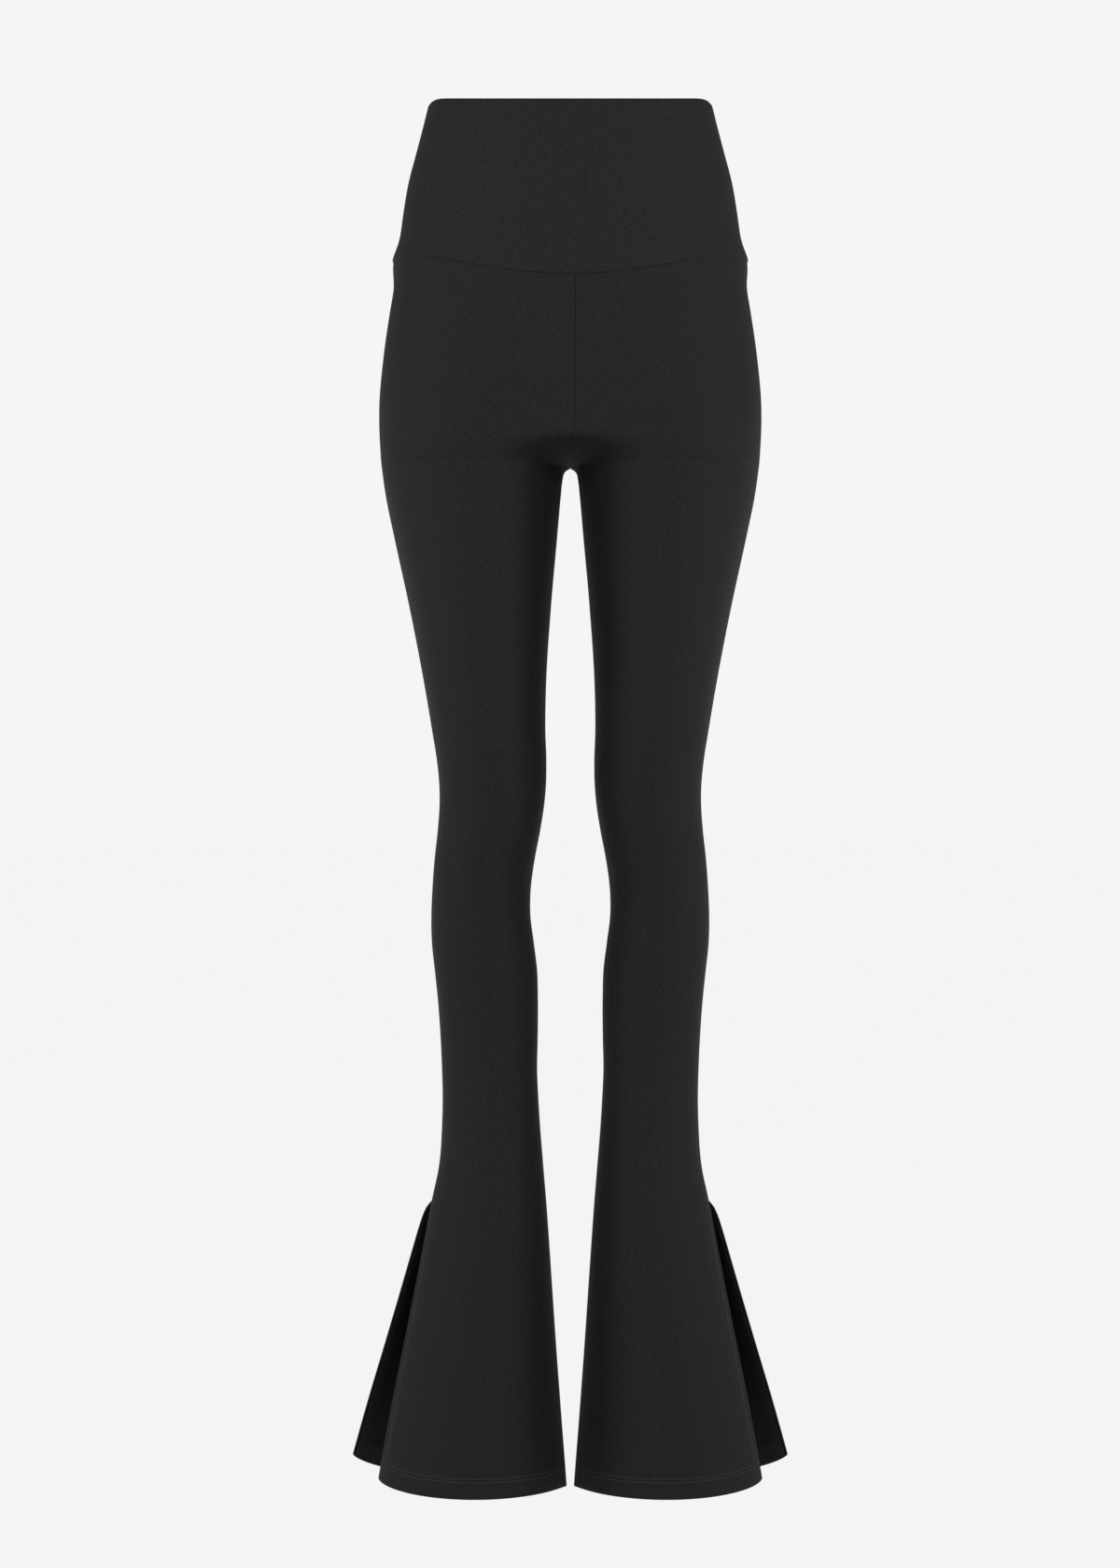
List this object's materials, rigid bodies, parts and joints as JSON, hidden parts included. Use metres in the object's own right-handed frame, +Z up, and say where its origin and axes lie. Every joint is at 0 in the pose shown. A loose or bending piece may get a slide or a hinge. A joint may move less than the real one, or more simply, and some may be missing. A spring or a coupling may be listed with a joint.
{
  "type": "leggings",
  "caption": "High-waisted leggings with a deep smooth waistband, close-fitting legs and flares that open in a slit at each outer side.",
  "frame": {"origin": "middle of the waist opening, level with its edge at the side seams", "axes": "+X to the wearer's left, -Y to the front, +Z up"},
  "size_m": [0.3656, 0.23, 1.161],
  "materials": {
    "waistband_cloth": "matte fine stretch jersey, two layers",
    "leg_cloth": "matte fine stretch jersey, one layer"
  },
  "bodies": {
    "root": {"waistband_front": "waistband_cloth", "waistband_back": "waistband_cloth", "left_front_leg": "leg_cloth", "left_back_leg": "leg_cloth", "right_front_leg": "leg_cloth", "right_back_leg": "leg_cloth"}
  },
  "joints": []
}
